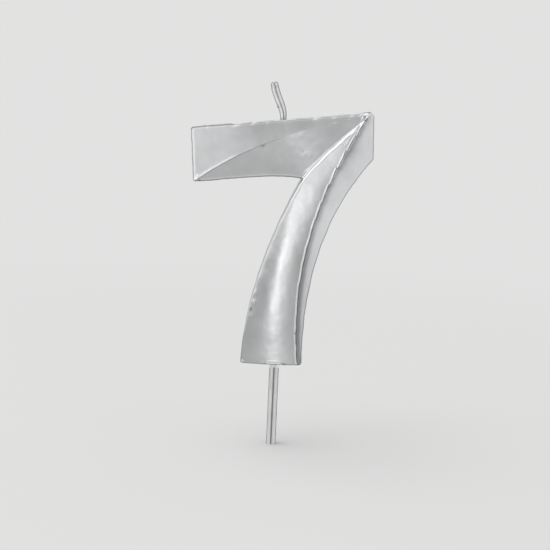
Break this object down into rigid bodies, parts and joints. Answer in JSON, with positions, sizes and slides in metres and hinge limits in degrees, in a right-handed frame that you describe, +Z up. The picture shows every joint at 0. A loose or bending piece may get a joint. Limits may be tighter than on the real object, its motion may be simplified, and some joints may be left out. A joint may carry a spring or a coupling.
{
  "type": "numeral cake candle",
  "caption": "Wax candle in the shape of a numeral seven with a creased, faceted front, a braided wick in its top edge and a ribbed pick below for standing it in a cake.",
  "frame": {"origin": "where the pick's axis leaves the flat underside of the wax numeral", "axes": "+Z up along the pick's axis towards the numeral's top, +X to the right as the numeral is read, front towards -Y"},
  "size_m": [0.0498, 0.0116, 0.123],
  "materials": {
    "lacquered_wax": "satin",
    "dipped_braid": "satin",
    "silvered_plastic": "gloss"
  },
  "bodies": {
    "root": {"wax_numeral": "lacquered_wax", "wick": "dipped_braid", "pick": "silvered_plastic", "pick_seal": "lacquered_wax"}
  },
  "joints": []
}
